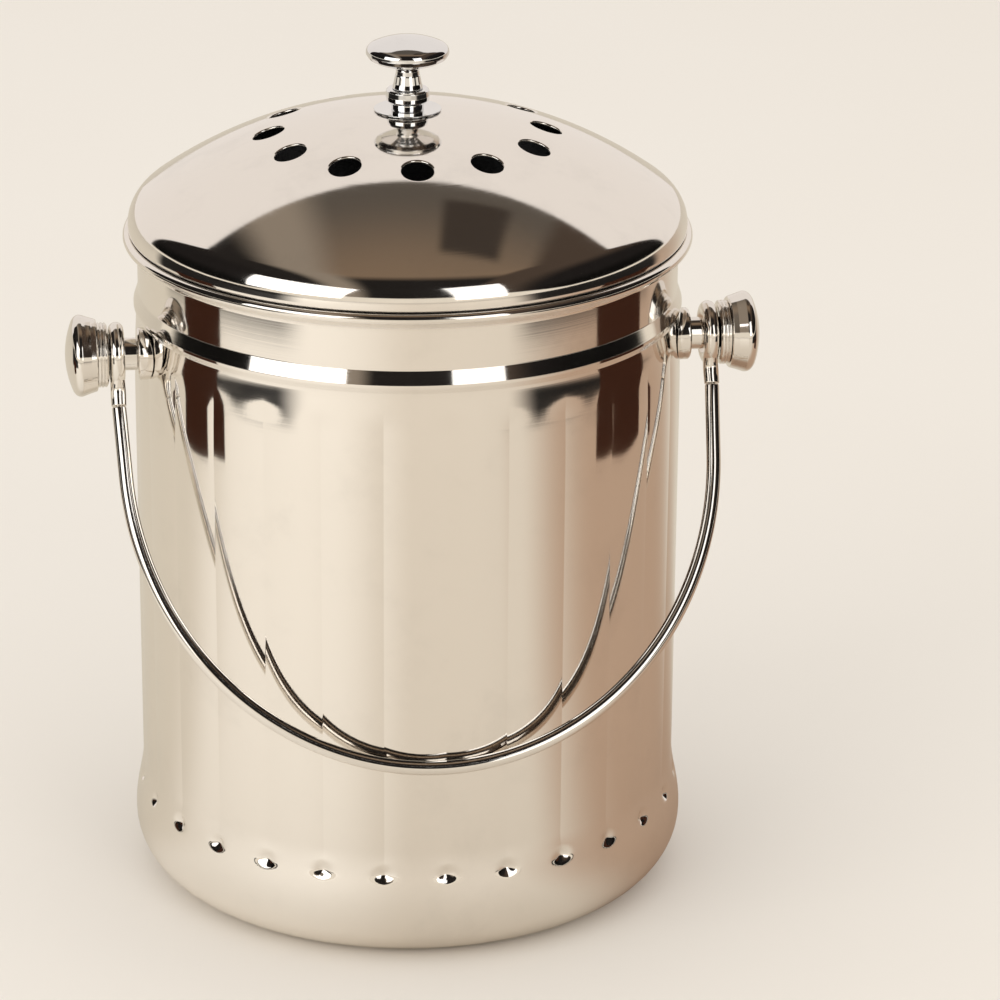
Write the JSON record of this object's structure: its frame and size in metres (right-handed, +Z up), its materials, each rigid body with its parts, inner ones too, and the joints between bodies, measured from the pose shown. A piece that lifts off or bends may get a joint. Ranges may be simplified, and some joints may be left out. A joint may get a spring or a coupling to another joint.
{
  "type": "compost caddy",
  "caption": "Round steel kitchen compost pail with a fluted body, a domed lift-off lid with a charcoal filter, a turned lid knob and a swinging rod bail on side pivots.",
  "frame": {"origin": "middle of the pail's flat bottom", "axes": "+Z up along the pail's axis, X along the bail's pivots, -Y towards the side where the lowered bail rests"},
  "size_m": [0.2246, 0.186, 0.2847],
  "materials": {
    "mirror_steel": "stainless steel polished to a mirror, slightly warm, with faint lines round the body",
    "bright_steel": "polished stainless steel, turned parts and drawn rod",
    "knob_chrome": "bright chrome plating",
    "sheet_steel": "plain rolled stainless sheet, satin",
    "screw_steel": "plain zinc-plated steel",
    "charcoal": "matt black carbon felt",
    "black_plastic": "satin moulded plastic"
  },
  "bodies": {
    "pail": {"pail_body": "mirror_steel", "pivot_collar_left": "bright_steel", "pivot_bush_left": "bright_steel", "pivot_disc_left": "bright_steel", "pivot_knob_left": "bright_steel", "pivot_washer_left": "screw_steel", "pivot_screw_left": "screw_steel", "pivot_collar_right": "bright_steel", "pivot_bush_right": "bright_steel", "pivot_disc_right": "bright_steel", "pivot_knob_right": "bright_steel", "pivot_washer_right": "screw_steel", "pivot_screw_right": "screw_steel"},
    "bail": {"bail_rod": "bright_steel", "bail_eye_left": "bright_steel", "bail_eye_right": "bright_steel"},
    "lid": {"lid_dome": "mirror_steel", "lid_locating_skirt": "sheet_steel", "filter_cup": "sheet_steel", "lid_knob_washer": "knob_chrome", "lid_knob_collar": "knob_chrome", "lid_knob": "knob_chrome", "lid_screw_washer": "screw_steel", "lid_screw": "screw_steel"},
    "filter_set": {"filter_pad_lower": "charcoal", "filter_pad_upper": "charcoal", "filter_retainer": "black_plastic"}
  },
  "joints": [
    {"name": "bail_swing", "type": "hinge", "parent": "pail", "child": "bail", "pos_m": [0, -0.019, 0.188], "axis": [-1, 0, 0], "range_deg": [0, 273]},
    {"name": "lid_lift", "type": "slide", "parent": "pail", "child": "lid", "axis": [0, 0, 1], "range_m": [0, 0.12]},
    {"name": "filter_release", "type": "slide", "parent": "lid", "child": "filter_set", "axis": [0, 0, -1], "range_m": [0, 0.03]}
  ]
}
